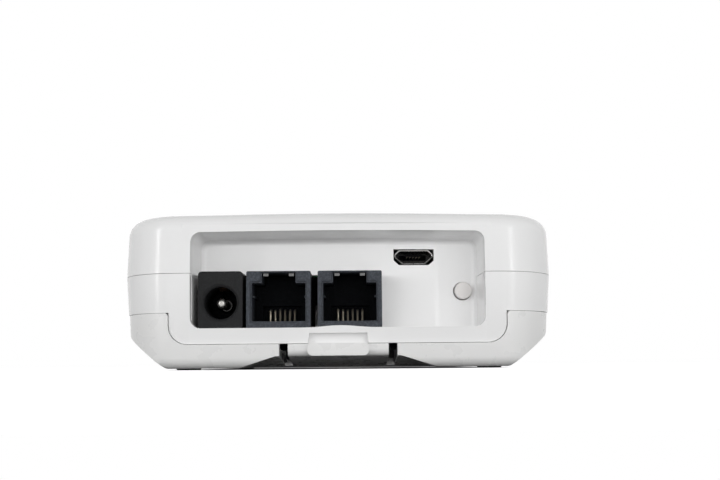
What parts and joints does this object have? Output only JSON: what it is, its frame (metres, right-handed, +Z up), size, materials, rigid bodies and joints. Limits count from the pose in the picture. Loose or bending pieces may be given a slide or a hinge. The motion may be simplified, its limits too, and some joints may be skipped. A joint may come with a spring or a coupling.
{
  "type": "optical network terminal",
  "caption": "Small white box with a recessed row of sockets at one end, a fibre socket at the other, and a clip-on tray for slack fibre underneath.",
  "frame": {"origin": "centre of the bounding box's footprint, on the surface that the rubber feet stand on", "axes": "+Z up, ports face -Y, fibre port faces +Y, +X to the right when facing the ports"},
  "size_m": [0.087, 0.1164, 0.0313],
  "materials": {
    "case_white": "satin gloss moulded ABS",
    "tray_white": "satin moulded ABS, slightly warmer",
    "foot_rubber": "matt",
    "clear_plastic": "translucent",
    "board_green": "solder mask",
    "port_black": "fine grain",
    "jack_black": "fine grain",
    "nickel": "nickel plated",
    "copper_contact": "bright",
    "gold_contact": "gold flash",
    "button_white": "satin, warm white",
    "connector_green": "moulded",
    "ceramic": "zirconia",
    "cap_white": "soft moulded",
    "chip_black": "moulded epoxy",
    "sink_black": "black anodised",
    "can_metal": "printed sleeve free can",
    "led_body": "diffused",
    "screw_steel": "zinc plated"
  },
  "bodies": {
    "case": {"top_cover": "case_white", "lower_housing": "case_white", "fibre_tray": "tray_white", "rubber_feet": "foot_rubber", "fibre_spool": "tray_white", "splice_holder": "clear_plastic", "circuit_board": "board_green", "dc_jack": "port_black", "dc_jack_pin": "nickel", "dc_jack_spring": "copper_contact", "modular_jack_left": "jack_black", "modular_jack_right": "jack_black", "jack_contacts_left": "gold_contact", "jack_contacts_right": "gold_contact", "usb_shell": "nickel", "usb_tongue": "port_black", "reset_switch": "port_black", "sc_receptacle": "connector_green", "sc_ferrule": "ceramic", "sc_sleeve": "ceramic", "optical_module": "nickel", "shield_can": "nickel", "main_chip": "chip_black", "heat_sink": "sink_black", "pulse_transformers": "chip_black", "capacitors": "can_metal", "power_inductor": "chip_black", "crystal": "nickel", "status_leds": "led_body", "light_pipe": "clear_plastic", "case_screws": "screw_steel"},
    "latch": {"tray_latch": "tray_white"},
    "button": {"reset_button": "button_white", "reset_plunger": "port_black"},
    "cap": {"dust_cap": "cap_white"}
  },
  "joints": [
    {"name": "latch_press", "type": "hinge", "parent": "case", "child": "latch", "pos_m": [0, -0.04135, 0.0019], "axis": [1, 0, 0], "range_deg": [0, 5], "stiffness_Nm_per_rad": 0.9},
    {"name": "button_press", "type": "slide", "parent": "case", "child": "button", "axis": [0, 1, 0], "range_m": [0, 0.0005], "stiffness_N_per_m": 800, "springref_m": -0.0005},
    {"name": "cap_pull", "type": "slide", "parent": "case", "child": "cap", "axis": [0, 1, 0], "range_m": [0, 0.018]}
  ]
}
